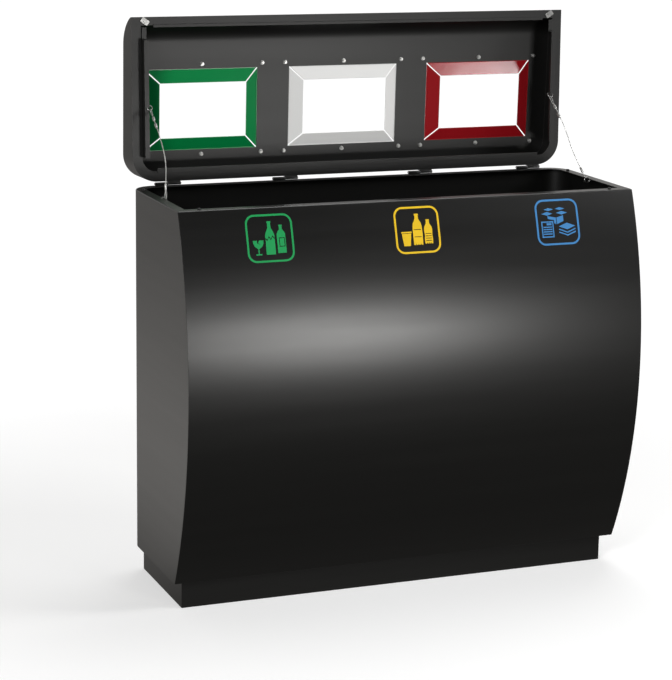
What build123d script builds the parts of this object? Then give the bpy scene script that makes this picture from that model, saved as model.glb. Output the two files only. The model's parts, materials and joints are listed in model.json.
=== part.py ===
from build123d import *
from math import asin, atan2, cos, degrees, hypot, sin, sqrt
import os

# Recycling bin station with a lift-up lid, in millimetres.
# Origin: on the ground at the centre of the four anchor holes, under the middle of the rim.
# +Z is up, the curved front faces -Y, and the hinges are along the rear top edge.
# Lid pieces are drawn closed and then swung open.

# ---------------------------------------------------------------- driving dimensions
WIDTH = 1150.0               # across the body
RIM_DEPTH = 370.0            # front to back at the rim
RIM_HEIGHT = 950.0           # ground to rim
PLINTH_HEIGHT = 68.0
FRONT_BULGE = 80.0           # how far the middle of the front stands out past the rim
FRONT_TUCK = 22.5            # how far the bottom edge of the front sits behind the rim
REAR_RADIUS = 55.0           # rear upright corners of the body
SHEET = 2.0                  # steel sheet of body and lid
RIM_FLANGE = 25.0            # inward flange round the rim
PLINTH_INSET = 23.5          # plinth behind the sides and the back
PLINTH_FRONT_INSET = 20.5    # plinth behind the bottom edge of the front

LID_WIDTH = 1132.0
LID_LENGTH = 391.0           # rear wall to front edge
LID_REAR_HEIGHT = 84.5
LID_FRONT_HEIGHT = 67.0      # where the sloping top turns into the nose
LID_NOSE = 69.0              # length of the rounded nose
LID_RADIUS = 60.0            # rear corners of the lid
LID_SIDE_FLANGE = 24.0
LID_FRONT_FLANGE = 20.0
LID_LEAN = 1.7               # degrees past upright when open
LID_GAP = 4.0                # rim to closed lid
LIP_X = 540.5                # outer face of the lips that hang into the mouth of the body
LIP_DROP = 21.0              # their depth below the lid flange
LIP_LEDGE = 11.0             # width of their inward ledge

HINGE_XS = (-480.0, -180.0, 180.0, 480.0)
HINGE_LENGTH = 64.0
HINGE_PIN_R = 2.0
KNUCKLE_R = 3.5

STREAM_PITCH = 369.0         # centre to centre of the three openings
OPENING = (287.0, 197.0)     # hole in the lid skin
THROAT = (220.0, 133.0)      # clear size between the bent flaps
THROAT_DROP = 12.0           # flap tips below the inside of the skin
OPENING_FROM_REAR = 162.5
FRAME_PLATE = (333.0, 243.0)
FRAME_SHEET = 1.5
MITRE_GAP = 3.4
SCREW_SPACING = (154.5, 109.5)   # half spacings of the six screws of each frame
SCREW_R = 2.5

LINER_PITCH = 354.0
LINER = (335.0, 292.0, 760.0)
LINER_SHEET = 1.5
LINER_HEM = (5.0, 15.0)      # folded rim of a liner, width and height
RAIL_HEIGHT = 8.0
BAIL_WIRE_R = 3.0
BAIL_DROP = 26.0             # bail below the top of its liner

LABEL = (113.0, 110.0)       # width, and height measured along the curve
LABEL_STROKE = 4.6
LABEL_CORNER = 22.0
LABEL_PITCH = 364.0
LABEL_CENTRE_Z = 883.5
VINYL = 0.4

CABLE_R = 1.1
FIT = 0.05                   # running clearance of a pin in its hole
TOUCH = 0.02                 # clearance of parts that only sit on each other

# ---------------------------------------------------------------- sizes worked out from them
FRONT_Y = -RIM_DEPTH / 2
REAR_Y = RIM_DEPTH / 2
FLOOR_Z = PLINTH_HEIGHT
FLOOR_SHEET = 3.0
FLOOR_TOP = FLOOR_Z + FLOOR_SHEET
LINER_BASE = FLOOR_TOP + RAIL_HEIGHT
BAIL_HEIGHT = LINER[2] - BAIL_DROP

# The front is one circular arc in side view, through the rim, the bulge and the bottom edge.
CHORD_TOP = (FRONT_Y, RIM_HEIGHT)
CHORD_LOW = (FRONT_Y + FRONT_TUCK, FLOOR_Z)
CHORD = hypot(CHORD_TOP[0] - CHORD_LOW[0], CHORD_TOP[1] - CHORD_LOW[1])
SAGITTA = FRONT_BULGE + FRONT_TUCK / 2
FRONT_R = (CHORD ** 2 / 4 + SAGITTA ** 2) / (2 * SAGITTA)
CHORD_LEAN = atan2(FRONT_TUCK, RIM_HEIGHT - FLOOR_Z)
ARC_Y = (CHORD_TOP[0] + CHORD_LOW[0]) / 2 + (FRONT_R - SAGITTA) * cos(CHORD_LEAN)
ARC_Z = (CHORD_TOP[1] + CHORD_LOW[1]) / 2 + (FRONT_R - SAGITTA) * sin(CHORD_LEAN)

LID_FLANGE_Z = RIM_HEIGHT + LID_GAP
LID_REAR_Y = REAR_Y - 2.5
HINGE_Y = REAR_Y + 2.5
HINGE_Z = RIM_HEIGHT + 3.0
LID_FRONT_Y = LID_REAR_Y - LID_LENGTH
LID_TOP_RUN = LID_LENGTH - LID_NOSE
LID_FALL = (LID_REAR_HEIGHT - LID_FRONT_HEIGHT) / LID_TOP_RUN
LID_SLOPE = atan2(LID_REAR_HEIGHT - LID_FRONT_HEIGHT, LID_TOP_RUN)

FRAME_Y = LID_REAR_Y - OPENING_FROM_REAR
FRAME_Z = LID_FLANGE_Z + LID_REAR_HEIGHT - OPENING_FROM_REAR * LID_FALL
FRAME_XS = (-STREAM_PITCH, 0.0, STREAM_PITCH)

PLINTH_X = WIDTH / 2 - PLINTH_INSET
PLINTH_FRONT = FRONT_Y + FRONT_TUCK + PLINTH_FRONT_INSET
PLINTH_REAR = REAR_Y - PLINTH_INSET + 0.5
ANCHOR_X = 520.0
ANCHOR_YS = (-110.0, 110.0)
ANCHOR_R = 6.0
ACCESS_R = 15.0

LINER_XS = (-LINER_PITCH, 0.0, LINER_PITCH)
RING_R = 7.0
RING_WIRE_R = 1.0
RING_HOLE_R = 2.2
RING_SINK = 3.5              # rim rings hang below their flange, clear of the closed lid
BODY_RING = (WIDTH / 2 - RIM_FLANGE, -2.0, RIM_HEIGHT - SHEET / 2 - RING_SINK)
BODY_RING_REACH = sqrt(RING_R ** 2 - RING_SINK ** 2)
LID_RING = (LIP_X - LIP_LEDGE, LID_REAR_Y - 179.0, LID_FLANGE_Z - LIP_DROP + SHEET / 2)


# ---------------------------------------------------------------- helpers
def save(name, *solids):
    """Write one node; several solids stay separate in one group."""
    shape = solids[0] if len(solids) == 1 else Compound([s for group in solids for s in group.solids()])
    shape.label = name
    export_step(shape, os.path.join("parts", name + ".step"))


def block(x, y, z):
    """Box between three (low, high) pairs."""
    size = [high - low for low, high in (x, y, z)]
    centre = [(high + low) / 2 for low, high in (x, y, z)]
    return Pos(*centre) * Box(*size)


def rod(axis, radius, start, end, across):
    """Cylinder along X, Y or Z from start to end; across gives its two other coordinates."""
    turn, place = {
        "x": (Rot(0, 90, 0), Pos((start + end) / 2, across[0], across[1])),
        "y": (Rot(90, 0, 0), Pos(across[0], (start + end) / 2, across[1])),
        "z": (Rot(0, 0, 0), Pos(across[0], across[1], (start + end) / 2)),
    }[axis]
    return place * turn * Cylinder(radius, end - start)


def plan(width, front, rear, radius):
    """Outline seen from above: square at the front, rounded at the rear."""
    outline = Pos(0, (front + rear) / 2) * Rectangle(width, rear - front)
    return fillet(outline.vertices().sort_by(Axis.Y)[-2:], radius)


def slab(outline, low, high):
    """A plan outline made solid between two heights."""
    return Pos(0, 0, low) * extrude(outline, high - low)


def across_body(side_view, width):
    """A side view (y, z) made solid over the width, centred on the middle plane."""
    return extrude(Plane.YZ * side_view, width / 2, both=True)


def front_y(z, inset=0.0):
    """Where the curved front is at height z, moved inwards by inset."""
    return ARC_Y - sqrt((FRONT_R - inset) ** 2 - (z - ARC_Z) ** 2)


def behind_front(inset, low, high, rear=REAR_Y + 10.0):
    """Side view of everything behind the curved front between two heights."""
    middle = (low + high) / 2
    corners = [(front_y(z, inset), z) for z in (low, middle, high)]
    arc = ThreePointArc(*corners)
    back = Polyline(corners[2], (rear, high), (rear, low), corners[0])
    return make_face(Curve() + [arc, back])


def swing_open(shape):
    """Turn a piece drawn on the closed lid to the open lid's place."""
    return shape.rotate(Axis((0, HINGE_Y, HINGE_Z), (1, 0, 0)), -(90 + LID_LEAN))


# ---------------------------------------------------------------- body
def wrap_shell():
    """One sheet round the sides and back, with its inward rim flange and two cable ring holes."""
    wide_front = FRONT_Y - 2 * FRONT_BULGE
    outside = slab(plan(WIDTH, wide_front, REAR_Y, REAR_RADIUS), FLOOR_Z, RIM_HEIGHT)
    inner = plan(WIDTH - 2 * SHEET, wide_front, REAR_Y - SHEET, REAR_RADIUS - SHEET)
    walls = outside - slab(inner, FLOOR_Z, RIM_HEIGHT)
    walls &= across_body(behind_front(SHEET, FLOOR_Z, RIM_HEIGHT), WIDTH)
    flange = plan(WIDTH, FRONT_Y + RIM_FLANGE, REAR_Y, REAR_RADIUS)
    flange -= plan(WIDTH - 2 * RIM_FLANGE, wide_front, REAR_Y - RIM_FLANGE, REAR_RADIUS - RIM_FLANGE)
    shell = walls + slab(flange, RIM_HEIGHT - SHEET, RIM_HEIGHT)
    for side in (-1, 1):
        x = side * (BODY_RING[0] + BODY_RING_REACH)
        shell -= rod("z", RING_HOLE_R, RIM_HEIGHT - 2 * SHEET, RIM_HEIGHT + SHEET, (x, BODY_RING[1]))
    return shell


def front_panel():
    """Curved front sheet over the edges of the sides, with the front strip of the rim flange."""
    outer_view = behind_front(0, FLOOR_Z, RIM_HEIGHT)
    inner_view = behind_front(SHEET, FLOOR_Z, RIM_HEIGHT)
    curved = across_body(outer_view - inner_view, WIDTH)
    strip_x = WIDTH / 2 - SHEET
    strip_y = (FRONT_Y - SHEET, FRONT_Y + RIM_FLANGE)
    strip = block((-strip_x, strip_x), strip_y, (RIM_HEIGHT - SHEET, RIM_HEIGHT))
    strip &= across_body(outer_view, WIDTH)
    return curved + strip


def anchor_points():
    return [(x, y) for x in (-ANCHOR_X, ANCHOR_X) for y in ANCHOR_YS]


def floor_plate():
    """Floor between the walls, with an access hole over each ground anchor."""
    outline = plan(WIDTH - 2 * SHEET, FRONT_Y - FRONT_BULGE, REAR_Y - SHEET, REAR_RADIUS - SHEET)
    plate = slab(outline, FLOOR_Z, FLOOR_TOP) & across_body(behind_front(SHEET, FLOOR_Z, RIM_HEIGHT), WIDTH)
    for point in anchor_points():
        plate -= rod("z", ACCESS_R, FLOOR_Z - 1, FLOOR_TOP + 1, point)
    return plate


def plinth():
    """Folded base frame: walls, a top flange under the floor and a drilled foot flange."""
    wall = 2.5
    top_flange = 25.0
    foot_flange = 70.0
    foot_sheet = 3.0

    def ring(inset_out, inset_in, low, high):
        outer = block((-PLINTH_X + inset_out, PLINTH_X - inset_out),
                      (PLINTH_FRONT + inset_out, PLINTH_REAR - inset_out), (low, high))
        return outer - block((-PLINTH_X + inset_in, PLINTH_X - inset_in),
                             (PLINTH_FRONT + inset_in, PLINTH_REAR - inset_in), (low - 1, high + 1))

    frame = ring(0, wall, 0, PLINTH_HEIGHT)
    frame += ring(0, top_flange, PLINTH_HEIGHT - wall, PLINTH_HEIGHT)
    frame += ring(0, foot_flange, 0, foot_sheet)
    for x, y in anchor_points():
        frame -= rod("z", ANCHOR_R, -1, foot_sheet + 1, (x, y))
        frame -= rod("z", ACCESS_R + TOUCH, foot_sheet + 1, PLINTH_HEIGHT + 1, (x, y))
    return frame


def access_plugs():
    """Plastic plugs that close the four access holes of the floor."""
    head_r = 18.0
    head = 2.0
    plugs = []
    for point in anchor_points():
        stem = rod("z", ACCESS_R - FIT, FLOOR_Z - 2, FLOOR_TOP + head, point)
        hollow = rod("z", ACCESS_R - 2, FLOOR_Z - 3, FLOOR_TOP, point)
        plugs.append(stem + rod("z", head_r, FLOOR_TOP, FLOOR_TOP + head, point) - hollow)
    return plugs


def support_rails():
    """Two bars across the floor that the liners stand on."""
    half_x = 555.0
    half_y = 12.0
    centres = (-60.0, 70.0)
    height = (FLOOR_TOP, LINER_BASE)
    return [block((-half_x, half_x), (y - half_y, y + half_y), height) for y in centres]


def divider_plates():
    """Upright angle plates between neighbouring liners, slotted over the support rails."""
    height = 90.0
    sheet = 3.0
    foot = 9.0
    half_y = 140.0
    plates = []
    for x in (-LINER_PITCH / 2, LINER_PITCH / 2):
        upright = block((x - sheet / 2, x + sheet / 2), (-half_y, half_y), (FLOOR_TOP, FLOOR_TOP + height))
        base = block((x - sheet / 2, x + foot), (-half_y, half_y), (FLOOR_TOP, FLOOR_TOP + sheet))
        plate = upright + base
        for rail in support_rails():
            plate -= rail
        plates.append(plate)
    return plates


def stop_angles():
    """Angle strips on the floor, in front of and behind the row of liners."""
    height = 40.0
    sheet = 2.0
    foot = 7.0
    half_x = 540.0
    clear = LINER[1] / 2 + 4.0
    strips = []
    for side in (-1, 1):
        upright_y = sorted((side * clear, side * (clear + sheet)))
        foot_y = sorted((side * clear, side * (clear + foot)))
        strip = block((-half_x, half_x), upright_y, (FLOOR_TOP, FLOOR_TOP + height))
        strips.append(strip + block((-half_x, half_x), foot_y, (FLOOR_TOP, FLOOR_TOP + sheet)))
    return strips


def rim_buffers():
    """Rubber discs on the rim that carry the closed lid."""
    radius = 4.0
    height = LID_GAP - 0.2
    right_side = ((560.0, 120.0), (520.0, FRONT_Y + RIM_FLANGE / 2))
    places = [(side * x, y) for side in (-1, 1) for x, y in right_side]
    return [rod("z", radius, RIM_HEIGHT, RIM_HEIGHT + height, place) for place in places]


# ---------------------------------------------------------------- hinges
def hinge_knuckles(on_lid):
    """Weld-on hinge halves: a knuckle and its tab. Lid halves are drawn closed and swung open."""
    gap = 0.5
    tab_reach = 22.0
    halves = []
    for x in HINGE_XS:
        span = (x, x + HINGE_LENGTH / 2) if on_lid else (x - HINGE_LENGTH / 2, x - gap)
        knuckle = rod("x", KNUCKLE_R, span[0], span[1], (HINGE_Y, HINGE_Z))
        if on_lid:
            tab = block(span, (LID_REAR_Y, LID_REAR_Y + SHEET), (HINGE_Z, HINGE_Z + tab_reach))
            bore = HINGE_PIN_R + FIT
        else:
            tab = block(span, (REAR_Y, REAR_Y + SHEET), (HINGE_Z - tab_reach, HINGE_Z))
            bore = HINGE_PIN_R + TOUCH
        half = knuckle + tab - rod("x", bore, span[0] - 1, span[1] + 1, (HINGE_Y, HINGE_Z))
        halves.append(swing_open(half) if on_lid else half)
    return halves


def hinge_pins():
    """Headed pins through both knuckles of each hinge."""
    head_r = 3.0
    head = 1.0
    pins = []
    for x in HINGE_XS:
        start = x - HINGE_LENGTH / 2 - head
        end = x + HINGE_LENGTH / 2 + head
        pin = rod("x", HINGE_PIN_R, start, end, (HINGE_Y, HINGE_Z))
        pin += rod("x", head_r, start, start + head - FIT, (HINGE_Y, HINGE_Z))
        pin += rod("x", head_r, end - head + FIT, end, (HINGE_Y, HINGE_Z))
        pins.append(pin)
    return pins


# ---------------------------------------------------------------- lid
def lid_side_view(inset):
    """Side view of the closed lid: upright rear wall, sloping top and rounded nose."""
    rear = LID_REAR_Y - inset
    low = LID_FLANGE_Z + inset
    drop = inset / cos(LID_SLOPE)
    top_rear = LID_FLANGE_Z + LID_REAR_HEIGHT - drop - inset * LID_FALL
    top_front = (LID_REAR_Y - LID_TOP_RUN, LID_FLANGE_Z + LID_FRONT_HEIGHT - drop)
    crown = (LID_FRONT_Y + 23.0 + 0.7 * inset, LID_FLANGE_Z + 43.0 - 0.7 * inset)
    tip = (LID_FRONT_Y + 1.1 * inset, low)
    nose = ThreePointArc(top_front, crown, tip)
    rest = Polyline(tip, (rear, low), (rear, top_rear), top_front)
    return make_face(Curve() + [nose, rest])


def frame_place(x):
    """Centre of an opening on the outside of the sloping lid skin."""
    return Pos(x, FRAME_Y, FRAME_Z) * Rot(degrees(LID_SLOPE), 0, 0)


def screw_points():
    half_x, half_y = SCREW_SPACING
    return [(x, y) for x in (-half_x, 0.0, half_x) for y in (-half_y, half_y)]


def lid_shell():
    """Closed pan of sheet with an inward flange, three openings and their screw holes."""
    outline = plan(LID_WIDTH, LID_FRONT_Y, LID_REAR_Y, LID_RADIUS)
    inner_outline = plan(LID_WIDTH - 2 * SHEET, LID_FRONT_Y, LID_REAR_Y - SHEET, LID_RADIUS - SHEET)
    top = LID_FLANGE_Z + LID_REAR_HEIGHT
    pan = slab(outline, LID_FLANGE_Z, top) & across_body(lid_side_view(0), LID_WIDTH)
    pan -= slab(inner_outline, LID_FLANGE_Z, top) & across_body(lid_side_view(SHEET), LID_WIDTH - 2 * SHEET)
    mouth = plan(LID_WIDTH - 2 * LID_SIDE_FLANGE, LID_FRONT_Y + LID_FRONT_FLANGE,
                 LID_REAR_Y - LID_SIDE_FLANGE, LID_RADIUS - LID_SIDE_FLANGE)
    pan -= slab(mouth, LID_FLANGE_Z - 1, LID_FLANGE_Z + SHEET + 1)
    for x in FRAME_XS:
        cutter = Box(OPENING[0], OPENING[1], 6 * SHEET)
        for point in screw_points():
            cutter += rod("z", SCREW_R + 0.25, -3 * SHEET, 3 * SHEET, point)
        pan -= frame_place(x) * cutter
    return swing_open(pan)


def side_lips():
    """Folded strips welded to the side flanges; they hang into the mouth and carry the lid rings."""
    front, rear = LID_FRONT_Y + LID_FRONT_FLANGE + 4.5, LID_REAR_Y - LID_RADIUS
    step_y = FRONT_Y + RIM_FLANGE + 5.0          # ahead of this the lip passes over the rim
    low, over_rim = LID_FLANGE_Z - LIP_DROP, RIM_HEIGHT + 0.6
    tab_low = LID_FLANGE_Z + SHEET + TOUCH
    inner = LIP_X - LIP_LEDGE
    lips = []
    for side in (-1, 1):
        lip = block((LIP_X - SHEET, LIP_X), (step_y, rear), (low, tab_low + SHEET))
        lip += block((LIP_X - SHEET, LIP_X), (front, step_y), (over_rim, tab_low + SHEET))
        lip += block((LIP_X - SHEET, LIP_X + 15), (front, rear), (tab_low, tab_low + SHEET))
        lip += block((inner, LIP_X), (step_y, rear), (low, low + SHEET))
        lip += block((inner, LIP_X), (front, step_y), (over_rim, over_rim + SHEET))
        lip += block((inner, LIP_X), (step_y, step_y + SHEET), (low, over_rim + SHEET))
        lip -= rod("z", RING_HOLE_R, low - 1, low + SHEET + 1, (inner + RING_R, LID_RING[1]))
        lips.append(swing_open(lip if side > 0 else mirror(lip, about=Plane.YZ)))
    return lips


def edge_bars():
    """Flat bars that stiffen the front and rear flanges of the lid."""
    height = (RIM_HEIGHT + 0.6, LID_FLANGE_Z - TOUCH)
    front_edge = LID_FRONT_Y + LID_FRONT_FLANGE
    rear_edge = LID_REAR_Y - LID_SIDE_FLANGE
    front = block((-512, 512), (front_edge - 1.5, front_edge + 4.5), height)
    rear = block((-505, 505), (rear_edge - 8.0, rear_edge + 1.5), height)
    return [swing_open(front), swing_open(rear)]


def aperture_frame(x):
    """Flat plate on the lid skin whose four flaps are bent in to form a shallow throat."""
    bend = (OPENING[0] - 4.0, OPENING[1] - 4.0)
    tip = (THROAT[0] - 2.0, THROAT[1] - 2.0)
    depth = FRAME_SHEET + SHEET + THROAT_DROP
    flap = FRAME_SHEET * 1.1                     # flap thickness measured upright

    def funnel(top):
        mouth = Pos(0, 0, top) * Rectangle(*bend)
        return loft([mouth, Pos(0, 0, top - depth) * Rectangle(*tip)], ruled=True)

    collar = block((-bend[0] / 2, bend[0] / 2), (-bend[1] / 2, bend[1] / 2), (FRAME_SHEET - flap, FRAME_SHEET))
    flaps = funnel(FRAME_SHEET - flap) + collar - funnel(FRAME_SHEET)
    flaps -= block((-THROAT[0] / 2, THROAT[0] / 2), (-THROAT[1] / 2, THROAT[1] / 2), (-2 * depth, depth))
    plate = extrude(RectangleRounded(*FRAME_PLATE, 6.0) - Rectangle(*bend), FRAME_SHEET)
    frame = plate + flaps
    relief_r = 2.4
    run = ((bend[0] - THROAT[0]) / 2, (bend[1] - THROAT[1]) / 2)
    mitre_length = hypot(*run) + 2 * MITRE_GAP
    for side_x in (-1, 1):
        for side_y in (-1, 1):
            corner = (side_x * bend[0] / 2, side_y * bend[1] / 2)
            turn = Rot(0, 0, degrees(atan2(-side_y * run[1], -side_x * run[0])))
            slot = Pos(mitre_length / 2, 0, 0) * Box(mitre_length, MITRE_GAP, 4 * depth)
            frame -= Pos(*corner) * turn * slot
            frame -= rod("z", relief_r, -2 * depth, depth, corner)
    for point in screw_points():
        frame -= rod("z", SCREW_R + 0.25, -1, FRAME_SHEET + 1, point)
    return swing_open(frame_place(x) * frame)


def on_every_frame(piece):
    """One copy of a fastener at each screw of each opening."""
    return [swing_open(frame_place(x) * Pos(px, py) * piece) for x in FRAME_XS for px, py in screw_points()]


def frame_screws():
    """Pan head screws from outside; the ends stand out past the nuts."""
    head_r = 4.6
    head = 2.8
    shank = rod("z", SCREW_R, -9.0, FRAME_SHEET + 1, (0, 0))
    dome = rod("z", head_r, FRAME_SHEET, FRAME_SHEET + head, (0, 0))
    dome = fillet(dome.edges().sort_by(Axis.Z)[-1:], 1.6)
    recess = Pos(0, 0, FRAME_SHEET + head) * (Box(4.4, 1.0, 3.0) + Box(1.0, 4.4, 3.0))
    return on_every_frame(shank + dome - recess)


def frame_washers():
    washer = rod("z", 5.2, -SHEET - 1.0, -SHEET, (0, 0)) - rod("z", SCREW_R + 0.2, -10, 1, (0, 0))
    return on_every_frame(washer)


def frame_nuts():
    top = -SHEET - 1.0
    nut = Pos(0, 0, top - 4.0) * extrude(RegularPolygon(4.6, 6), 4.0)
    return on_every_frame(nut - rod("z", SCREW_R + TOUCH, -20, 1, (0, 0)))


def corner_plates():
    """Zinc plates set across the two front corners of the lid flange."""
    size = (20.0, 13.0)
    plates = []
    for side in (-1, 1):
        plate = extrude(RectangleRounded(*size, 2.0) - Circle(2.1), 1.5)
        place = Pos(side * 532.0, LID_FRONT_Y + 10.5, LID_FLANGE_Z - 1.5) * Rot(0, 0, side * -35)
        plates.append(swing_open(place * plate))
    return plates


def corner_rivets():
    rivets = []
    for side in (-1, 1):
        rivet = rod("z", 2.1 - FIT, -1.5, 0, (0, 0))
        head = Pos(0, 0, -1.5) * Sphere(4.0) & block((-4, 4), (-4, 4), (-3.1, -1.5))
        place = Pos(side * 532.0, LID_FRONT_Y + 10.5, LID_FLANGE_Z)
        rivets.append(swing_open(place * (rivet + head)))
    return rivets


# ---------------------------------------------------------------- cables
def ring_at(centre):
    """Split ring standing across the edge of a flange."""
    return Pos(*centre) * Rot(90, 0, 0) * Torus(RING_R, RING_WIRE_R)


def rings(centre, place):
    return [place(ring_at((side * centre[0], centre[1], centre[2]))) for side in (-1, 1)]


def restraint_cable(side):
    """Steel rope between the lid ring and the rim ring, with a crimped ferrule at each end."""
    lid_ring = swing_open(Pos(*LID_RING) * Sphere(1)).center()
    top = Vector(side * (LID_RING[0] + 1.0), lid_ring.Y - 2.5, lid_ring.Z - 3.0)
    low = Vector(side * (BODY_RING[0] - 3.0), BODY_RING[1] + 0.5, BODY_RING[2] + 3.0)
    sag = (top + low) * 0.5 + Vector(0, -6.0, -7.0)
    path = Spline(top, sag, low)
    rope = sweep(Plane(origin=path @ 0, z_dir=path % 0) * Circle(CABLE_R), path=path)
    for start in (0.05, 0.91):
        a = path.position_at(start)
        b = path.position_at(start + 0.04)
        plane = Plane(origin=a, z_dir=b - a)
        rope += extrude(plane * Circle(2.4), (b - a).length)
    return rope


# ---------------------------------------------------------------- liners
def liner(x):
    """Open steel box with a folded rim, holes for its bail and two rests for it."""
    width, depth, height = LINER
    hem, hem_height = LINER_HEM
    corner = 15.0
    box = extrude(RectangleRounded(width, depth, corner), height)
    inside = RectangleRounded(width - 2 * LINER_SHEET, depth - 2 * LINER_SHEET, corner - LINER_SHEET)
    box -= Pos(0, 0, LINER_SHEET) * extrude(inside, height)
    rim = RectangleRounded(width + 2 * hem, depth + 2 * hem, corner + hem)
    rim -= RectangleRounded(width, depth, corner)
    box += Pos(0, 0, height - hem_height) * extrude(rim, hem_height)
    box -= rod("x", BAIL_WIRE_R + FIT, -width, width, (0, BAIL_HEIGHT))
    wall = depth / 2 - LINER_SHEET
    for tab_x in (-60.0, 60.0):
        box += block((tab_x - 6, tab_x + 6), (wall - 10, wall + 0.5), (BAIL_HEIGHT - 7, BAIL_HEIGHT - 3.2))
    return Pos(x, 0, LINER_BASE) * box


def bail(x):
    """Wire handle lying inside the liner's rim, its ends through the side walls."""
    arm_x = LINER[0] / 2 - LINER_SHEET - BAIL_WIRE_R - 3.0
    reach = LINER[1] / 2 - LINER_SHEET - BAIL_WIRE_R - 1.5
    wall_x = LINER[0] / 2
    ends = ((-arm_x, -BAIL_WIRE_R), (arm_x, -BAIL_WIRE_R))
    path = FilletPolyline(ends[0], (-arm_x, reach), (arm_x, reach), ends[1], radius=14.0)
    wire = sweep(Plane(origin=(*ends[0], 0), z_dir=(0, 1, 0)) * Circle(BAIL_WIRE_R), path=path)
    for side in (-1, 1):
        inner, outer = side * (arm_x - 1), side * (wall_x + 3.5)
        wire += rod("x", BAIL_WIRE_R, min(inner, outer), max(inner, outer), (0, 0))
        head = sorted((side * (wall_x + 2.0), outer))
        wire += rod("x", BAIL_WIRE_R + 1.4, head[0], head[1], (0, 0))
    return Pos(x, 0, LINER_BASE + BAIL_HEIGHT) * wire


# ---------------------------------------------------------------- labels
def outline_of(*half_widths):
    """Symmetric silhouette from (half width, height) pairs, bottom to top."""
    right = list(half_widths)
    left = [(-w, h) for w, h in reversed(half_widths)]
    return Polygon(*right, *left, align=None)


def patch(*points):
    """Filled outline through the points, which may run either way round."""
    after = points[1:] + points[:1]
    turn = sum(a[0] * b[1] - b[0] * a[1] for a, b in zip(points, after))
    return Polygon(*(points if turn > 0 else points[::-1]), align=None)


def bar(x, y, width, height):
    return Pos(x, y) * Rectangle(width, height)


def diamond(x, y, half_width, half_height):
    return patch((x - half_width, y), (x, y - half_height), (x + half_width, y), (x, y + half_height))


def glass_icon():
    """A cracked stemmed glass, a broken bottle and a bottle with a label."""
    goblet = outline_of((2.0, -23.0), (9.0, -18.0), (12.4, -10.0), (12.8, -4.0))
    goblet += bar(0, -29, 2.6, 14) + bar(0, -36.4, 14.0, 3.0)
    goblet -= patch((-2.5, -3.0), (2.5, -3.0), (-0.5, -9.0), (4.5, -15.0), (-3.0, -9.5))
    tall = outline_of((11.2, -37.5), (11.2, 6.0), (9.0, 14.0), (4.0, 23.0), (3.6, 35.5))
    tall += bar(0, 37.0, 9.5, 3.6)
    tall -= patch((-13, 3.0), (-7, -3.0), (-2.5, 5.0), (2, -2.0), (6, 6.0), (13, -2.0),
                  (13, -5.0), (6, 3.0), (2, -5.0), (-2.5, 2.0), (-7, -6.0), (-13, 0.0))
    square = outline_of((10.3, -35.0), (10.3, 8.0), (8.5, 13.0), (3.6, 19.0), (3.3, 26.5))
    square += bar(0, 27.8, 8.4, 3.2)
    square -= bar(1.5, -10.0, 14.0, 21.0) - bar(1.5, -10.0, 10.6, 17.6)
    return Pos(-29, 0) * goblet + tall + Pos(27, 0) * square


def plastic_icon():
    """A cup, a large bottle and a small waisted bottle."""
    cup = outline_of((8.0, -36.5), (11.8, -7.6)) + bar(0, -4.6, 26.0, 3.4)
    large = outline_of((11.5, -35.0), (12.0, -20.0), (12.0, -2.0), (11.5, 8.0), (10.0, 16.0),
                       (4.6, 26.0), (4.2, 34.5))
    large += bar(0, 36.2, 10.0, 3.6)
    large -= bar(0, 1.0, 18.0, 1.8) + bar(0, -16.0, 18.0, 1.8)
    small = outline_of((9.8, -33.0), (10.2, -22.0), (9.4, -12.0), (10.4, -2.0), (9.4, 6.0),
                       (4.4, 14.0), (3.6, 20.5))
    small += bar(0, 22.0, 8.6, 3.4)
    for y in (-26.0, -20.5, -15.0, -9.5):
        small -= bar(0, y, 15.0, 1.7)
    for foot_x in (-6.0, 0.0, 6.0):
        large -= bar(foot_x, -35.0, 2.0, 4.0)
        small -= bar(foot_x * 0.8, -33.0, 1.8, 4.0)
    return Pos(-28.5, 0) * cup + large + Pos(27, 0) * small


def paper_icon():
    """An open carton, a printed page and a stack of sheets."""
    carton = patch((-1.5, -4.5), (16, 2.0), (16, 16.0), (-1.5, 11.0))
    carton += patch((-3.5, 11.0), (-25, 15.5), (-25, 8.5), (-9, 5.5), (-9, -2.5), (-3.5, -4.5))
    carton += diamond(-26, 21.0, 15.0, 4.4) + diamond(13, 22.0, 15.0, 4.4)
    carton += diamond(-21, 31.0, 13.0, 3.6) + diamond(9, 32.0, 13.0, 3.4)
    page = bar(-27.5, -16.5, 32.0, 39.0) - bar(-27.5, -16.5, 26.0, 33.0)
    page += bar(-23.0, -4.0, 13.0, 5.0)
    for y in (-11.0, -16.5, -22.0, -27.5):
        page += bar(-27.5, y, 23.0, 2.8)
    sheets = diamond(24, -10.5, 22.0, 8.0)
    for drop in (7.0, 14.0):
        sheets += patch((2, -11.5 - drop), (24, -20.0 - drop), (46, -11.5 - drop),
                        (46, -8.5 - drop), (24, -17.0 - drop), (2, -8.5 - drop))
    return carton + page + sheets


def label(x, icon):
    """Outline frame and icon cut from thin vinyl that follows the curved front."""
    width, height = LABEL
    frame = RectangleRounded(width, height, LABEL_CORNER)
    inner_size = (width - 2 * LABEL_STROKE, height - 2 * LABEL_STROKE)
    frame -= RectangleRounded(*inner_size, LABEL_CORNER - LABEL_STROKE)
    flat = frame + icon
    ahead = (x, FRONT_Y - FRONT_BULGE * 2, LABEL_CENTRE_Z)
    face_plane = Plane(origin=ahead, x_dir=(1, 0, 0), z_dir=(0, -1, 0))
    upright_share = cos(asin((LABEL_CENTRE_Z - ARC_Z) / FRONT_R))
    upright = extrude(face_plane * scale(flat, by=(1, upright_share, 1)), -2 * FRONT_BULGE)
    low, high = FLOOR_Z + 20, RIM_HEIGHT - 2
    skin = behind_front(-VINYL, low, high) - behind_front(0, low, high)
    return upright & across_body(skin, 2 * WIDTH)


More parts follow.
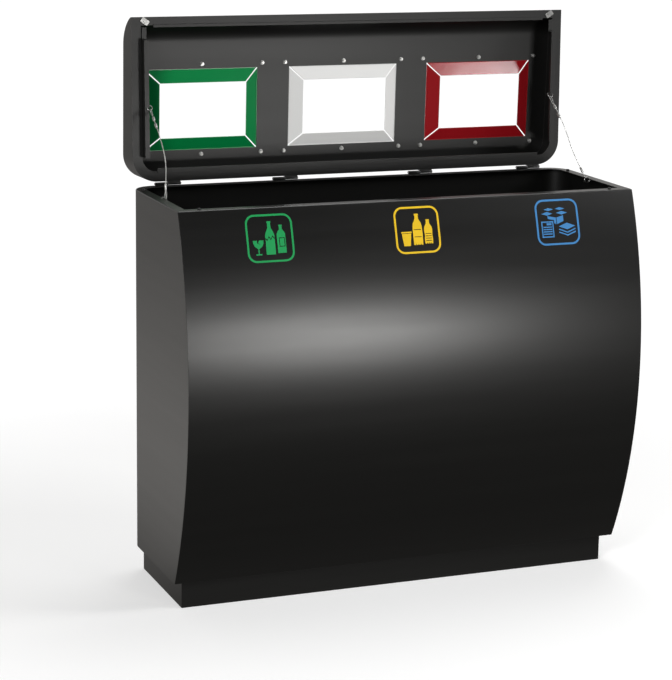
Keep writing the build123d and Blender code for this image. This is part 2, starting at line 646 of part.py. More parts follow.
# ---------------------------------------------------------------- write the nodes
os.makedirs("parts", exist_ok=True)

save("wrap_shell", wrap_shell())
save("front_panel", front_panel())
save("floor_plate", floor_plate())
save("plinth", plinth())
save("anchor_access_plugs", *access_plugs())
save("liner_support_rails", *support_rails())
save("liner_divider_plates", *divider_plates())
save("liner_stop_angles", *stop_angles())
save("rim_buffers", *rim_buffers())
save("hinge_body_knuckles", *hinge_knuckles(on_lid=False))
save("hinge_pins", *hinge_pins())
save("cable_rings_body", *rings(BODY_RING, lambda ring: ring))
save("label_glass", label(-LABEL_PITCH, glass_icon()))
save("label_plastic", label(0, plastic_icon()))
save("label_paper", label(LABEL_PITCH, paper_icon()))

save("lid_shell", lid_shell())
for colour, centre_x in zip(("green", "white", "red"), FRAME_XS):
    save("aperture_frame_" + colour, aperture_frame(centre_x))
save("frame_screws", *frame_screws())
save("frame_washers", *frame_washers())
save("frame_nuts", *frame_nuts())
save("hinge_lid_knuckles", *hinge_knuckles(on_lid=True))
save("cable_rings_lid", *rings(LID_RING, swing_open))
save("lid_side_lips", *side_lips())
save("lid_edge_bars", *edge_bars())
save("lid_corner_plates", *corner_plates())
save("corner_plate_rivets", *corner_rivets())

save("restraint_cable_left", restraint_cable(-1))
save("restraint_cable_right", restraint_cable(1))

for side_name, centre_x in zip(("left", "centre", "right"), LINER_XS):
    save("liner_" + side_name, liner(centre_x))
    save("bail_handle_" + side_name, bail(centre_x))
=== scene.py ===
"""Looks of the recycling bin station: fine sheet metal, ropes, materials, studio and camera."""
import json
import math

import bmesh
import bpy
from mathutils import Matrix, Vector

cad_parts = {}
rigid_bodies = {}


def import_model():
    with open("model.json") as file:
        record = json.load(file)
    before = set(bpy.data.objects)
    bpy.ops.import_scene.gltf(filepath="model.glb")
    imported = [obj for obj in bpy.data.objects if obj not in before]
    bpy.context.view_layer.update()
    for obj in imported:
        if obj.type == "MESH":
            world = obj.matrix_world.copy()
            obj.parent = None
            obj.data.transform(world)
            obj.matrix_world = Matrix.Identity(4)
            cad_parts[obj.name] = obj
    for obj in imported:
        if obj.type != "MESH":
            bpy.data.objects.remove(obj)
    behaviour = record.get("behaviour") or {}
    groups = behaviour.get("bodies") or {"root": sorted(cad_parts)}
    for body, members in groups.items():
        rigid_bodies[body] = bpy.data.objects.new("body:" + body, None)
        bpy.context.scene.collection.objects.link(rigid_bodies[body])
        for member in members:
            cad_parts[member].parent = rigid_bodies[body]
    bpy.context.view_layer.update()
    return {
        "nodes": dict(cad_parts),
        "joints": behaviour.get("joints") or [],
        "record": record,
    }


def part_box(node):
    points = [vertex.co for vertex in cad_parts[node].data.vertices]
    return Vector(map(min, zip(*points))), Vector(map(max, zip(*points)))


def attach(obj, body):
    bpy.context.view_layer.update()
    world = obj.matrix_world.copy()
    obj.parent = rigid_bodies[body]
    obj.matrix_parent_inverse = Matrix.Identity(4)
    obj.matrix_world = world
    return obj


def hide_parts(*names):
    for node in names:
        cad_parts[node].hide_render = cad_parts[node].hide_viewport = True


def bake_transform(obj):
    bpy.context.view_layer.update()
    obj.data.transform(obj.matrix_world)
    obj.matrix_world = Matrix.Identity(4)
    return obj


# The start file's own cube, lamp and camera go first.
for leftover in list(bpy.data.objects):
    bpy.data.objects.remove(leftover)
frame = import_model()

# ---------------------------------------------------------------- sizes in metres, as in the CAD
SHEET = 0.002
RIM_FLANGE = 0.025
CORNER_R = 0.055
BEND_R = 0.0026              # outside radius of a folded edge

shell_low, shell_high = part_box("wrap_shell")
HALF_WIDTH = shell_high.x
REAR_Y = shell_high.y
RIM_Z = shell_high.z
BASE_Z = shell_low.z
FRONT_Y = -REAR_Y            # front edge of the rim
FRONT_TUCK = 0.0225          # bottom edge of the front, behind the rim
FRONT_BULGE = 0.080          # middle of the front, ahead of the rim

# One circular arc in side view: through the rim, the bulge and the bottom edge.
CHORD = math.hypot(FRONT_TUCK, RIM_Z - BASE_Z)
SAGITTA = FRONT_BULGE + FRONT_TUCK / 2
FRONT_R = (CHORD ** 2 / 4 + SAGITTA ** 2) / (2 * SAGITTA)
CHORD_LEAN = math.atan2(FRONT_TUCK, RIM_Z - BASE_Z)
ARC_Y = FRONT_Y + FRONT_TUCK / 2 + (FRONT_R - SAGITTA) * math.cos(CHORD_LEAN)
ARC_Z = (RIM_Z + BASE_Z) / 2 + (FRONT_R - SAGITTA) * math.sin(CHORD_LEAN)

HINGE = Vector(frame["joints"][0]["pos_m"])
LID_LEAN = 1.7
LID_HALF = 0.566
LID_LENGTH = 0.391
LID_RADIUS = 0.060
LID_REAR_Y = REAR_Y - 0.0025
LID_Z = RIM_Z + 0.004        # flange plane of the closed lid
LID_REAR_HEIGHT = 0.0845
LID_FRONT_HEIGHT = 0.067
LID_NOSE = 0.069             # length of the rounded nose
NOSE_POWER = 0.76            # fullness of the nose; 0.5 would be an ellipse
LID_TOP_RUN = LID_LENGTH - LID_NOSE
LID_FALL = (LID_REAR_HEIGHT - LID_FRONT_HEIGHT) / LID_TOP_RUN
LID_SLOPE = math.atan(LID_FALL)
LID_SIDE_FLANGE = 0.024
LID_FRONT_FLANGE = 0.020
LID_FRONT_Y = LID_REAR_Y - LID_LENGTH

STREAM_PITCH = 0.369
OPENING = (0.287, 0.197)     # hole in the lid skin
THROAT = (0.220, 0.133)      # clear size between the bent flaps
THROAT_DROP = 0.012          # flap tips below the inside of the skin
OPENING_FROM_REAR = 0.1625
FRAME_PLATE = (0.333, 0.243)
FRAME_SHEET = 0.0015
PLATE_CORNER_R = 0.006
RELIEF_R = 0.0018            # small holes where two bends meet
FLAP_SETBACK = 0.0034 * 0.54     # flap tips stop short of the mitre line by this much
STREAMS = {"green": -STREAM_PITCH, "white": 0.0, "red": STREAM_PITCH}

RING_R = 0.007
RING_WIRE_R = 0.0009
LID_RING_X = 0.5295          # inner edge of the ledge of the lid's side lips
LID_RING_FROM_REAR = 0.179
LIP_DROP = 0.021
RIM_RING_Y = -0.002
RIM_RING_SINK = 0.0035
ROPE_R = 0.0010
EYE_GRIP = 0.0026            # how far an eye reaches past the middle of its ring's wire
HOOK_INSET = 0.0015          # upper eye inwards of its ring's middle, clear of a lifted liner
LID_CRIMPS = (0.030, 0.043, 0.056, 0.070)    # ends of the two upper ferrules along the rope
RIM_CRIMPS = (0.020, 0.036)
LID_FERRULE_R = 0.0034
RIM_FERRULE_R = 0.0028

# Closed lid to open lid: a turn about the hinge.
LID_OPEN = (Matrix.Translation(HINGE) @ Matrix.Rotation(-math.radians(90 + LID_LEAN), 4, "X")
            @ Matrix.Translation(-HINGE))
# Flat frame drawing to its place on the sloping top of the closed lid.
FRAME_CENTRE = Vector((0, LID_REAR_Y - OPENING_FROM_REAR,
                       LID_Z + LID_REAR_HEIGHT - OPENING_FROM_REAR * LID_FALL))


# ---------------------------------------------------------------- material helpers
class Nodes:
    """Small wrapper that makes shader nodes and links readable."""

    def __init__(self, name):
        self.material = bpy.data.materials.new(name)
        self.material.use_nodes = True
        self.tree = self.material.node_tree
        self.shader = self.tree.nodes["Principled BSDF"]

    def add(self, kind, settings=None, **inputs):
        node = self.tree.nodes.new(kind)
        for key, value in (settings or {}).items():
            setattr(node, key, value)
        for key, value in inputs.items():
            self.set(node, key.replace("_", " "), value)
        return node

    def set(self, node, name, value):
        socket = node.inputs[name]
        if isinstance(value, bpy.types.NodeSocket):
            self.tree.links.new(value, socket)
        else:
            socket.default_value = value

    def noise(self, scale, detail=3.0, stretch=None):
        coords = self.add("ShaderNodeTexCoord").outputs["Object"]
        if stretch:
            mapping = self.add("ShaderNodeMapping", Vector=coords, Scale=stretch)
            coords = mapping.outputs["Vector"]
        node = self.add("ShaderNodeTexNoise", Vector=coords, Scale=scale, Detail=detail)
        return node.outputs["Fac"]

    def ramp(self, value, low, high):
        """Rescales a 0 to 1 value to the range low to high."""
        node = self.add("ShaderNodeMapRange", Value=value, To_Min=low, To_Max=high)
        return node.outputs["Result"]

    def mix_colour(self, factor, first, second):
        node = self.add("ShaderNodeMix", {"data_type": "RGBA"})
        self.set(node, "Factor", factor)
        for index, value in ((6, first), (7, second)):
            if isinstance(value, bpy.types.NodeSocket):
                self.tree.links.new(value, node.inputs[index])
            else:
                node.inputs[index].default_value = (*value[:3], 1.0)
        return node.outputs[2]

    def edge_mask(self, radius):
        """1 on sharp edges, 0 on flat faces."""
        bevel = self.add("ShaderNodeBevel", {"samples": 4}, Radius=radius)
        geometry = self.add("ShaderNodeNewGeometry")
        dot = self.add("ShaderNodeVectorMath", {"operation": "DOT_PRODUCT"})
        self.tree.links.new(bevel.outputs["Normal"], dot.inputs[0])
        self.tree.links.new(geometry.outputs["Normal"], dot.inputs[1])
        mask = self.add("ShaderNodeMapRange", From_Min=0.995, From_Max=0.90)
        self.tree.links.new(dot.outputs["Value"], mask.inputs["Value"])
        return mask.outputs["Result"]

    def edge_wear_and_highlight(self, tone, worn_and_lit):
        """The tone, half covered by a lighter colour along sharp edges: partly edge wear, partly a painted
        highlight.
        """
        # Sharp edges get the lighter colour: partly wear, partly a painted highlight.
        lit_and_worn_share = self.add("ShaderNodeMath", {"operation": "MULTIPLY"})
        self.tree.links.new(self.edge_mask(0.0012), lit_and_worn_share.inputs[0])
        lit_and_worn_share.inputs[1].default_value = 0.5
        return self.mix_colour(lit_and_worn_share.outputs[0], tone, worn_and_lit)

    def bump(self, height, strength, distance):
        node = self.add("ShaderNodeBump", Height=height, Strength=strength, Distance=distance)
        self.set(self.shader, "Normal", node.outputs["Normal"])

    def finish(self, **inputs):
        for key, value in inputs.items():
            self.set(self.shader, key.replace("_", " "), value)
        return self.material


def powder_coat(name, colour, roughness, worn_and_lit, contrast=0.12):
    """Satin powder coat: faint orange peel, soft blotches of tone and gloss, lighter edges that are partly
    wear and partly a painted highlight.
    """
    n = Nodes(name)
    dark = [c * (1 - contrast) for c in colour]
    light = [min(1.0, c * (1 + contrast)) for c in colour]
    tone = n.mix_colour(n.noise(5.0), dark, light)
    n.bump(n.noise(900.0, 2.0), 0.12, 0.0002)
    gloss = n.ramp(n.noise(14.0, 4.0), roughness - 0.03, roughness + 0.03)
    return n.finish(Base_Color=n.edge_wear_and_highlight(tone, worn_and_lit), Roughness=gloss, Specular_IOR_Level=0.5)


def black_coat():
    """Black powder coat of body and lid, with very faint level streaks."""
    n = Nodes("black_coat")
    streaks = n.noise(3.0, 5.0, (0.5, 0.5, 12.0))
    tone = n.mix_colour(streaks, (0.0035, 0.0035, 0.0033), (0.0055, 0.0055, 0.005))
    # Lighter along sharp edges: partly wear, partly a painted highlight.
    colour_out = n.edge_wear_and_highlight(tone, (0.05, 0.05, 0.047))
    n.bump(n.noise(900.0, 2.0), 0.10, 0.0002)
    gloss = n.ramp(n.noise(2.5, 5.0, (0.6, 0.6, 14.0)), 0.28, 0.34)
    # The lid, above the rim, has a duller coat than the body.
    place = n.add("ShaderNodeSeparateXYZ", Vector=n.add("ShaderNodeTexCoord").outputs["Object"])
    duller = n.add("ShaderNodeMapRange", Value=place.outputs["Z"],
                   From_Min=RIM_Z + 0.002, From_Max=RIM_Z + 0.006, To_Min=0.0, To_Max=0.13)
    total = n.add("ShaderNodeMath", {"operation": "ADD"})
    n.tree.links.new(gloss, total.inputs[0])
    n.tree.links.new(duller.outputs["Result"], total.inputs[1])
    return n.finish(Base_Color=colour_out, Roughness=total.outputs[0], Specular_IOR_Level=0.5)


def galvanised():
    """Hot-dip zinc with large soft spangles."""
    n = Nodes("galvanised")
    coords = n.add("ShaderNodeTexCoord").outputs["Object"]
    cells = n.add("ShaderNodeTexVoronoi", Vector=coords, Scale=70.0)
    tone = n.mix_colour(cells.outputs["Color"], (0.17, 0.18, 0.19), (0.30, 0.315, 0.32))
    n.bump(n.noise(60.0), 0.06, 0.0005)
    return n.finish(Base_Color=tone, Metallic=1.0, Roughness=n.ramp(n.noise(25.0), 0.44, 0.58))


def bright_metal(name, dark, light, roughness):
    """Plated or drawn steel with small stains and fine scratches."""
    n = Nodes(name)
    tone = n.mix_colour(n.noise(180.0, 4.0), dark, light)
    n.bump(n.noise(600.0, 2.0, (1.0, 1.0, 9.0)), 0.08, 0.0001)
    return n.finish(Base_Color=tone, Metallic=1.0,
                    Roughness=n.ramp(n.noise(240.0), roughness - 0.06, roughness + 0.08))


def moulded(name, colour, roughness):
    """Rubber or plastic with a fine matt grain."""
    n = Nodes(name)
    dark = [c * 0.7 for c in colour]
    light = [c * 1.3 for c in colour]
    n.bump(n.noise(1500.0, 2.0), 0.2, 0.0001)
    return n.finish(Base_Color=n.mix_colour(n.noise(30.0), dark, light),
                    Roughness=n.ramp(n.noise(90.0), roughness - 0.05, roughness + 0.05))


def vinyl(name, colour):
    """Cut film with a slightly uneven print."""
    n = Nodes(name)
    dark = [c * 0.9 for c in colour]
    light = [min(1.0, c * 1.08) for c in colour]
    n.bump(n.noise(400.0, 2.0), 0.05, 0.0001)
    return n.finish(Base_Color=n.mix_colour(n.noise(40.0), dark, light),
                    Roughness=n.ramp(n.noise(60.0), 0.34, 0.46), Specular_IOR_Level=0.3)


MATERIALS = {
    "black_coat": black_coat(),
    # The third colour of each coat is its lighter edge colour: partly wear, partly a painted highlight.
    "green_coat": powder_coat("green_coat", (0.0, 0.20, 0.050), 0.30, (0.35, 0.70, 0.50)),
    "white_coat": powder_coat("white_coat", (0.80, 0.80, 0.79), 0.40, (0.9, 0.9, 0.9), 0.04),
    "red_coat": powder_coat("red_coat", (0.30, 0.006, 0.010), 0.17, (0.85, 0.45, 0.42)),
    "galvanised": galvanised(),
    "zinc": bright_metal("zinc", (0.18, 0.18, 0.175), (0.56, 0.56, 0.55), 0.36),
    "steel_rope": bright_metal("steel_rope", (0.42, 0.42, 0.41), (0.72, 0.72, 0.70), 0.36),
    "black_plastic": moulded("black_plastic", (0.02, 0.02, 0.02), 0.55),
    "black_rubber": moulded("black_rubber", (0.014, 0.014, 0.014), 0.75),
    "green_vinyl": vinyl("green_vinyl", (0.012, 0.31, 0.085)),
    "yellow_vinyl": vinyl("yellow_vinyl", (0.80, 0.52, 0.015)),
    "blue_vinyl": vinyl("blue_vinyl", (0.05, 0.22, 0.50)),
}


# ---------------------------------------------------------------- mesh helpers
def add_piece(name, mesh, body, slot, *nodes):
    """Links a finished mesh as a shown piece that stands for the given CAD nodes."""
    piece = bpy.data.objects.new(name, mesh)
    bpy.context.scene.collection.objects.link(piece)
    mesh.materials.append(MATERIALS[slot])
    if body:
        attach(piece, body)
    if nodes:
        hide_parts(*nodes)
    return piece


def mesh_from(name, points, faces, outward=None):
    """Mesh from points and faces, welded, with its normals pointing along outward where that matters."""
    bm = bmesh.new()
    verts = [bm.verts.new(p) for p in points]
    for face in faces:
        if len(set(face)) > 2:
            bm.faces.new([verts[i] for i in face])
    bmesh.ops.remove_doubles(bm, verts=bm.verts, dist=1e-6)
    bmesh.ops.dissolve_degenerate(bm, edges=bm.edges, dist=1e-6)
    bmesh.ops.recalc_face_normals(bm, faces=bm.faces)
    if outward:
        at, direction = Vector(outward[0]), Vector(outward[1])
        nearest = min(bm.faces, key=lambda f: (f.calc_center_median() - at).length)
        if nearest.normal.dot(direction) < 0:
            bmesh.ops.reverse_faces(bm, faces=bm.faces)
    for face in bm.faces:
        face.smooth = True
    mesh = bpy.data.meshes.new(name)
    bm.to_mesh(mesh)
    bm.free()
    return mesh


def grid_faces(rows, columns, first=0):
    """Quads of a rows by columns grid of points."""
    faces = []
    for r in range(rows - 1):
        for c in range(columns - 1):
            a = first + r * columns + c
            faces.append((a, a + 1, a + columns + 1, a + columns))
    return faces


def grid_mesh(name, rows, outward):
    """Sheet through rows of points of equal length."""
    points = [p for row in rows for p in row]
    return mesh_from(name, points, grid_faces(len(rows), len(rows[0])), outward)


def fold_and_thicken(piece, thickness, bend, angle=35.0):
    """Rounds the folds of a drawn surface, gives it its sheet thickness and breaks the cut edges."""
    fold = piece.modifiers.new("fold", "BEVEL")
    fold.width = bend
    fold.segments = 4
    fold.limit_method = "ANGLE"
    fold.angle_limit = math.radians(angle)
    fold.use_clamp_overlap = True
    sheet = piece.modifiers.new("sheet", "SOLIDIFY")
    sheet.thickness = thickness
    sheet.offset = -1.0
    cut = piece.modifiers.new("cut_edges", "BEVEL")
    cut.width = thickness * 0.18
    cut.segments = 2
    cut.limit_method = "ANGLE"
    cut.angle_limit = math.radians(50.0)
    piece.modifiers.new("even_shading", "WEIGHTED_NORMAL").keep_sharp = True


def spread(low, high, count):
    return [low + (high - low) * i / (count - 1) for i in range(count)]


def tube_mesh(name, path, radius, sides=12, closed=False):
    """Round wire along a list of points, with flat capped ends unless it is closed."""
    points, faces = [], []
    count = len(path)
    side = None
    for i, centre in enumerate(path):
        after = path[(i + 1) % count] if closed or i + 1 < count else path[i]
        before = path[i - 1] if closed or i > 0 else path[i]
        along = (after - before).normalized()
        if side is None:
            side = along.orthogonal().normalized()
        side = (side - along * side.dot(along)).normalized()
        other = along.cross(side)
        for k in range(sides):
            turn = 2 * math.pi * k / sides
            points.append(centre + radius * (math.cos(turn) * side + math.sin(turn) * other))
    rings = count if closed else count - 1
    for i in range(rings):
        for k in range(sides):
            a = i * sides + k
            b = i * sides + (k + 1) % sides
            c = ((i + 1) % count) * sides
            faces.append((a, b, c + (k + 1) % sides, c + k))
    if not closed:
        faces.append(tuple(range(sides - 1, -1, -1)))
        faces.append(tuple((count - 1) * sides + k for k in range(sides)))
    return mesh_from(name, points, faces)


def join_meshes(name, meshes):
    """One mesh from several, each kept as its own loose part."""
    bm = bmesh.new()
    for mesh in meshes:
        bm.from_mesh(mesh)
        bpy.data.meshes.remove(mesh)
    joined = bpy.data.meshes.new(name)
    bm.to_mesh(joined)
    bm.free()
    return joined


# ---------------------------------------------------------------- body sheets
def front_y(z):
    return ARC_Y - math.sqrt(FRONT_R ** 2 - (z - ARC_Z) ** 2)


def body_wrap():
    """Sides and back in one sheet round the rear corners, folded in at the rim."""
    corner_steps = 14
    levels = spread(BASE_Z, RIM_Z, 45)
    profile = [(0.0, z) for z in levels] + [(RIM_FLANGE, RIM_Z)]
    rows = []
    for inset, z in profile:
        radius = CORNER_R - inset
        side_x = HALF_WIDTH - inset
        turn_x, turn_y = HALF_WIDTH - CORNER_R, REAR_Y - CORNER_R
        start_y = front_y(z) + SHEET + inset
        left = [(-side_x, y, z) for y in spread(start_y, turn_y, 5)[:-1]]
        for i in range(corner_steps + 1):
            a = math.pi / 2 * i / corner_steps
            left.append((-turn_x - radius * math.cos(a), turn_y + radius * math.sin(a), z))
        right = [(-x, y, h) for x, y, h in reversed(left)]
        rows.append([Vector(p) for p in left + right])
    mesh = grid_mesh("body_wrap", rows, ((0, REAR_Y, RIM_Z / 2), (0, 1, 0)))
    piece = add_piece("body_wrap", mesh, "body", "black_coat", "wrap_shell")
    fold_and_thicken(piece, SHEET, BEND_R)


def curved_front():
    """The bulging front sheet, folded back along the rim with mitred ends."""
    rows = []
    for z in spread(BASE_Z, RIM_Z, 97):
        rows.append([Vector((x, front_y(z), z)) for x in spread(-HALF_WIDTH, HALF_WIDTH, 13)])
    inner = HALF_WIDTH - RIM_FLANGE
    rows.append([Vector((x, FRONT_Y + RIM_FLANGE, RIM_Z)) for x in spread(-inner, inner, 13)])
    mesh = grid_mesh("curved_front", rows, ((0, FRONT_Y - FRONT_BULGE, RIM_Z / 2), (0, -1, 0)))
    piece = add_piece("curved_front", mesh, "body", "black_coat", "front_panel")
    fold_and_thicken(piece, SHEET, BEND_R)


# ---------------------------------------------------------------- lid
def lid_top(y):
    """Height of the closed lid's skin at y: a gentle fall, then the rounded nose."""
    run = LID_REAR_Y - y
    if run <= LID_TOP_RUN:
        return LID_Z + LID_REAR_HEIGHT - run * LID_FALL
    share = min(1.0, (run - LID_TOP_RUN) / LID_NOSE)
    return LID_Z + LID_FRONT_HEIGHT * (1 - share ** 2) ** NOSE_POWER


def lid_half_width(y):
    into_corner = y - (LID_REAR_Y - LID_RADIUS)
    if into_corner <= 0:
        return LID_HALF
    return LID_HALF - LID_RADIUS + math.sqrt(max(0.0, LID_RADIUS ** 2 - into_corner ** 2))


def lid_pan():
    """Folded lid: skin with three openings, walls round the rear corners, inward flange."""
    half_open_y = OPENING[1] / 2 * math.cos(LID_SLOPE)
    opening_ys = (FRAME_CENTRE.y - half_open_y, FRAME_CENTRE.y + half_open_y)
    nose = [LID_FRONT_Y + LID_NOSE * (1 - math.cos(math.pi / 2 * i / 16)) for i in range(17)]
    corner = [LID_REAR_Y - LID_RADIUS * (1 - math.sin(math.pi / 2 * i / 14)) for i in range(15)]
    ys = nose + [opening_ys[0], FRAME_CENTRE.y, opening_ys[1]] + corner
    opening_xs = [x + side * OPENING[0] / 2 for x in STREAMS.values() for side in (-1, 1)]

    points, faces = [], []
    columns = len(opening_xs) + 2
    for y in ys:
        half = lid_half_width(y)
        line = [-half] + [max(-half, min(half, x)) for x in opening_xs] + [half]
        points += [Vector((x, y, lid_top(y))) for x in line]
    for r, c in ((r, c) for r in range(len(ys) - 1) for c in range(columns - 1)):
        in_opening = opening_ys[0] - 1e-6 < ys[r] and ys[r + 1] < opening_ys[1] + 1e-6 and c % 2 == 1
        if not in_opening:
            a = r * columns + c
            faces.append((a, a + 1, a + columns + 1, a + columns))

    # Walls and flange follow the same outline; x positions match the skin's rows.
    outline = [(-lid_half_width(y), y) for y in ys]
    rear = [(x, LID_REAR_Y) for x in opening_xs if abs(x) < LID_HALF - LID_RADIUS]
    outline += rear + [(-x, y) for x, y in reversed(outline)]
    mouth_r = LID_RADIUS - LID_SIDE_FLANGE
    wall_rows = []
    for x, y in outline:
        side = math.copysign(1, x)
        turn = Vector((side * (LID_HALF - LID_RADIUS), LID_REAR_Y - LID_RADIUS))
        out = Vector((x, y)) - turn
        if abs(x) <= LID_HALF - LID_RADIUS:
            inner = Vector((x, LID_REAR_Y - LID_SIDE_FLANGE))
        elif out.y > 0:
            inner = turn + out.normalized() * mouth_r
        else:
            inner = Vector((side * (LID_HALF - LID_SIDE_FLANGE), max(y, LID_FRONT_Y + LID_FRONT_FLANGE)))
        wall_rows.append([Vector((x, y, lid_top(y))), Vector((x, y, LID_Z)),
                          Vector((inner.x, inner.y, LID_Z))])
    first = len(points)
    points += [p for row in wall_rows for p in row]
    faces += grid_faces(len(wall_rows), 3, first)

    # Front strip of the flange, between the two mitres.
    front = LID_FRONT_Y + LID_FRONT_FLANGE
    inner_x = LID_HALF - LID_SIDE_FLANGE
    xs = [-LID_HALF] + opening_xs + [LID_HALF]
    inner_xs = [max(-inner_x, min(inner_x, x)) for x in xs]
    first = len(points)
    points += [Vector((x, LID_FRONT_Y, LID_Z)) for x in xs] + [Vector((x, front, LID_Z)) for x in inner_xs]
    faces += grid_faces(2, len(xs), first)

    mesh = mesh_from("lid_pan", points, faces, ((0, LID_REAR_Y, LID_Z + LID_REAR_HEIGHT / 2), (0, 1, 0)))
    mesh.transform(LID_OPEN)
    piece = add_piece("lid_pan", mesh, "lid", "black_coat", "lid_shell")
    fold_and_thicken(piece, SHEET, 0.0035, 30.0)


def arc_points(centre, radius, start, end, steps):
    return [Vector((centre[0] + radius * math.cos(math.radians(start + (end - start) * i / steps)),
                    centre[1] + radius * math.sin(math.radians(start + (end - start) * i / steps))))
            for i in range(steps + 1)]


def opening_frame(colour):
    """Coloured plate on the skin: four mitred flaps bent through the opening, relief holes at the bends."""
    bend_x, bend_y = OPENING[0] / 2 - 0.002, OPENING[1] / 2 - 0.002
    plate_x, plate_y = FRAME_PLATE[0] / 2, FRAME_PLATE[1] / 2
    outer_r = PLATE_CORNER_R
    drop = FRAME_SHEET + SHEET + THROAT_DROP
    points, faces = [], []
    sides = ((0, 1, plate_x, plate_y, bend_x, bend_y, THROAT[0] / 2, THROAT[1] / 2),
             (1, 1, plate_y, plate_x, bend_y, bend_x, THROAT[1] / 2, THROAT[0] / 2),
             (0, -1, plate_x, plate_y, bend_x, bend_y, THROAT[0] / 2, THROAT[1] / 2),
             (1, -1, plate_y, plate_x, bend_y, bend_x, THROAT[1] / 2, THROAT[0] / 2))
    for swap, sign, out_u, out_v, in_u, in_v, tip_u, tip_v in sides:
        # Sector of the plate on this side, drawn as if it were the far (+v) side.
        sector = arc_points((out_u - outer_r, out_v - outer_r), outer_r, 45, 90, 4)
        sector += [Vector((-p.x, p.y)) for p in reversed(sector)]
        relief_arc = arc_points((-in_u, in_v), RELIEF_R, 135, 0, 6)
        sector += relief_arc + [Vector((-p.x, p.y)) for p in reversed(relief_arc)]
        flap_u = in_u - RELIEF_R
        run = in_v - tip_v
        flap = [Vector((-flap_u, in_v)), Vector((flap_u, in_v)),
                Vector((tip_u - FLAP_SETBACK, tip_v)), Vector((-tip_u + FLAP_SETBACK, tip_v))]
        for outline, is_flap in ((sector, False), (flap, True)):
            first = len(points)
            for p in outline:
                z = -drop * (in_v - p.y) / run if is_flap else 0.0
                u, v = p.x, sign * p.y
                points.append(Vector((v, u, z)) if swap else Vector((u, v, z)))
            faces.append(tuple(range(first, len(points))))
    mesh = mesh_from("opening_frame_" + colour, points, faces, ((plate_x, plate_y, 0), (0, 0, 1)))
    centre = FRAME_CENTRE + Vector((STREAMS[colour], 0, FRAME_SHEET + 0.0001))
    mesh.transform(LID_OPEN @ Matrix.Translation(centre) @ Matrix.Rotation(LID_SLOPE, 4, "X"))
    piece = add_piece("opening_frame_" + colour, mesh, "lid", colour + "_coat", "aperture_frame_" + colour)
    fold_and_thicken(piece, FRAME_SHEET, 0.0016, 12.0)


# ---------------------------------------------------------------- cables
def split_ring(centre, turn_axis):
    """Key ring of two close turns; turn_axis is the ring's own axis."""
    turns = 2.1
    steps = 84
    across = turn_axis.orthogonal().normalized()
    other = turn_axis.cross(across)
    path = []
    for i in range(steps + 1):
        a = 2 * math.pi * turns * i / steps
        shift = (i / steps - 0.5) * turns * RING_WIRE_R * 2.05
        path.append(centre + RING_R * (math.cos(a) * across + math.sin(a) * other) + shift * turn_axis)
    return tube_mesh("ring", path, RING_WIRE_R, 10)


def smooth_path(control, count):
    """Catmull-Rom curve through the control points, evenly sampled by parameter."""
    padded = [control[0] * 2 - control[1]] + control + [control[-1] * 2 - control[-2]]
    path = []
    for i in range(count):
        t = i / (count - 1) * (len(control) - 1)
        k = min(int(t), len(control) - 2)
        t -= k
        a, b, c, d = padded[k:k + 4]
        path.append(0.5 * (2 * b + (c - a) * t + (2 * a - 5 * b + 4 * c - d) * t * t
                           + (3 * b - a - 3 * c + d) * t ** 3))
    return path


def twisted_rope(name, path, strands=6, lay=0.009):
    """Outer strands wound round the path, over one core strand."""
    strand_r = ROPE_R * 0.36
    wind_r = ROPE_R - strand_r
    meshes = [tube_mesh("core", path, ROPE_R * 0.45, 6)]
    lengths = [0.0]
    for a, b in zip(path, path[1:]):
        lengths.append(lengths[-1] + (b - a).length)
    for s in range(strands):
        side = None
        wound = []
        for i, centre in enumerate(path):
            along = (path[min(i + 1, len(path) - 1)] - path[max(i - 1, 0)]).normalized()
            if side is None:
                side = along.orthogonal().normalized()
            side = (side - along * side.dot(along)).normalized()
            other = along.cross(side)
            turn = 2 * math.pi * (s / strands + lengths[i] / lay)
            wound.append(centre + wind_r * (math.cos(turn) * side + math.sin(turn) * other))
        meshes.append(tube_mesh("strand", wound, strand_r, 6))
    return join_meshes(name, meshes)


def ferrule(start, end, radius):
    """Crimped sleeve: oval barrel with pressed waists and rounded ends."""
    along = end - start
    profile = [(0.0, 0.55), (0.03, 0.85), (0.10, 1.0), (0.28, 0.98), (0.34, 0.86), (0.40, 0.98), (0.60, 0.98),
               (0.66, 0.86), (0.72, 0.98), (0.90, 1.0), (0.97, 0.85), (1.0, 0.55)]
    side = along.orthogonal().normalized()
    other = along.normalized().cross(side)
    sides = 16
    points, faces = [], []
    for share, size in profile:
        for k in range(sides):
            a = 2 * math.pi * k / sides
            rim = math.cos(a) * side + 0.8 * math.sin(a) * other
            points.append(start + along * share + radius * size * rim)
    for i in range(len(profile) - 1):
        for k in range(sides):
            a, b = i * sides + k, i * sides + (k + 1) % sides
            faces.append((a, b, b + sides, a + sides))
    faces.append(tuple(range(sides - 1, -1, -1)))
    faces.append(tuple((len(profile) - 1) * sides + k for k in range(sides)))
    return mesh_from("ferrule", points, faces)


def eye_loop(apex, throat, wire):
    """Rope turned back on itself: a slim loop from the ferrule round a ring, whose wire runs along wire."""
    reach = apex - throat
    side = reach.cross(wire).normalized()
    loop = []
    for i in range(33):
        turn = math.pi * i / 32
        spread_out = 0.0012 * math.cos(turn) + 0.0026 * math.sin(2 * turn)
        loop.append(throat + reach * math.sin(turn) + side * spread_out)
    return twisted_rope("eye_loop", loop)


